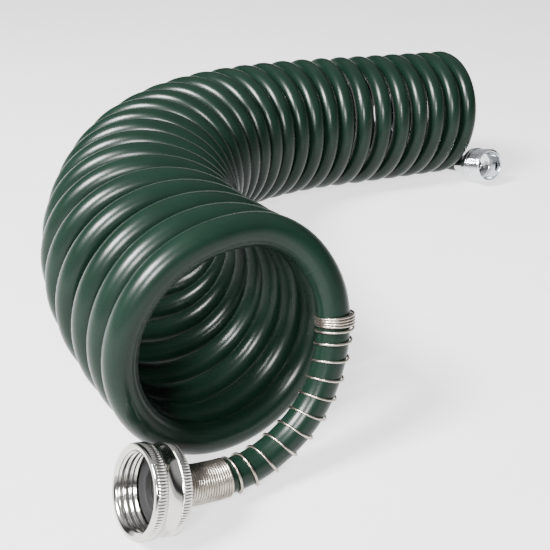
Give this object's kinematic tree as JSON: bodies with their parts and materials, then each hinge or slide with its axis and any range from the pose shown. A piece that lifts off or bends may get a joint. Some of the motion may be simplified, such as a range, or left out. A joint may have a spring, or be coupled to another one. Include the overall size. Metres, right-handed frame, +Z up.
{
  "type": "self-coiling garden hose",
  "caption": "Spring-coiled water hose bent to one side, with a swivel nut and wire bend guard on its front tail and a male threaded end on its rear tail.",
  "frame": {"origin": "centre of the bounding box, on the ground that the hose lies on", "axes": "+Z up; the rear of the coil runs along +X towards the male end; the front mouth of the coil and the bend guard face about -Y"},
  "size_m": [0.3889, 0.3776, 0.1001],
  "materials": {
    "hose": "glossy dark green polyurethane",
    "plating": "bright nickel plate over brass",
    "washer": "black rubber",
    "wire": "drawn stainless wire"
  },
  "bodies": {
    "hose": {"hose_coil": "hose", "hose_front_tail": "hose", "female_tailpiece": "plating", "hose_washer": "washer", "female_ferrule": "plating", "bend_guard_spring": "wire"},
    "nut": {"swivel_nut": "plating"},
    "far_end": {"hose_rear_tail": "hose", "male_fitting": "plating", "male_ferrule": "plating"}
  },
  "joints": [
    {"name": "nut_swivel", "type": "hinge", "parent": "hose", "child": "nut", "pos_m": [-0.18545, -0.17225, 0.01943], "axis": [-0.9356, -0.1365, 0.3256], "continuous": true},
    {"name": "coil_stretch", "type": "slide", "parent": "hose", "child": "far_end", "axis": [1, 0, 0], "range_m": [0, 0.3], "stiffness_N_per_m": 5}
  ]
}
